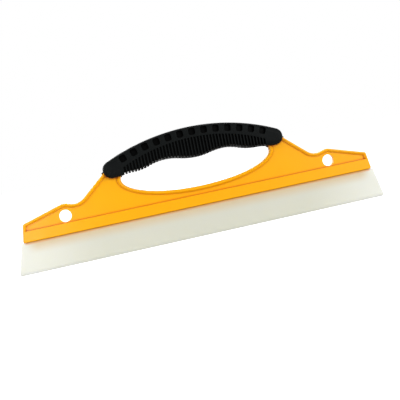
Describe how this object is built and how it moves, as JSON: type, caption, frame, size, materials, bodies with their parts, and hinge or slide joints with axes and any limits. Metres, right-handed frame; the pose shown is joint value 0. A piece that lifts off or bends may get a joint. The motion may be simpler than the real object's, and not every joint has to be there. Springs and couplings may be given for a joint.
{
  "type": "window cleaning squeegee",
  "caption": "Hand-held squeegee: rimmed plastic frame with an arched ribbed grip over a finger opening, hanging holes and a long translucent silicone blade that slides in a channel.",
  "frame": {"origin": "middle of the wiping lip, on the plane that the lip touches when the squeegee is held upright", "axes": "+X along the blade, +Y from the front face to the back face, +Z from the wiping lip up to the grip"},
  "size_m": [0.3058, 0.02, 0.0888],
  "materials": {
    "moulded_plastic": "satin injection moulding, warm yellow",
    "silicone": "milky translucent silicone, smooth",
    "grip_rubber": "matt black moulded rubber"
  },
  "bodies": {
    "handle": {"frame": "moulded_plastic", "grip": "grip_rubber"},
    "blade": {"blade": "silicone"}
  },
  "joints": [
    {"name": "blade_slide", "type": "slide", "parent": "handle", "child": "blade", "axis": [1, 0, 0], "range_m": [-0.28, 0.28]}
  ]
}
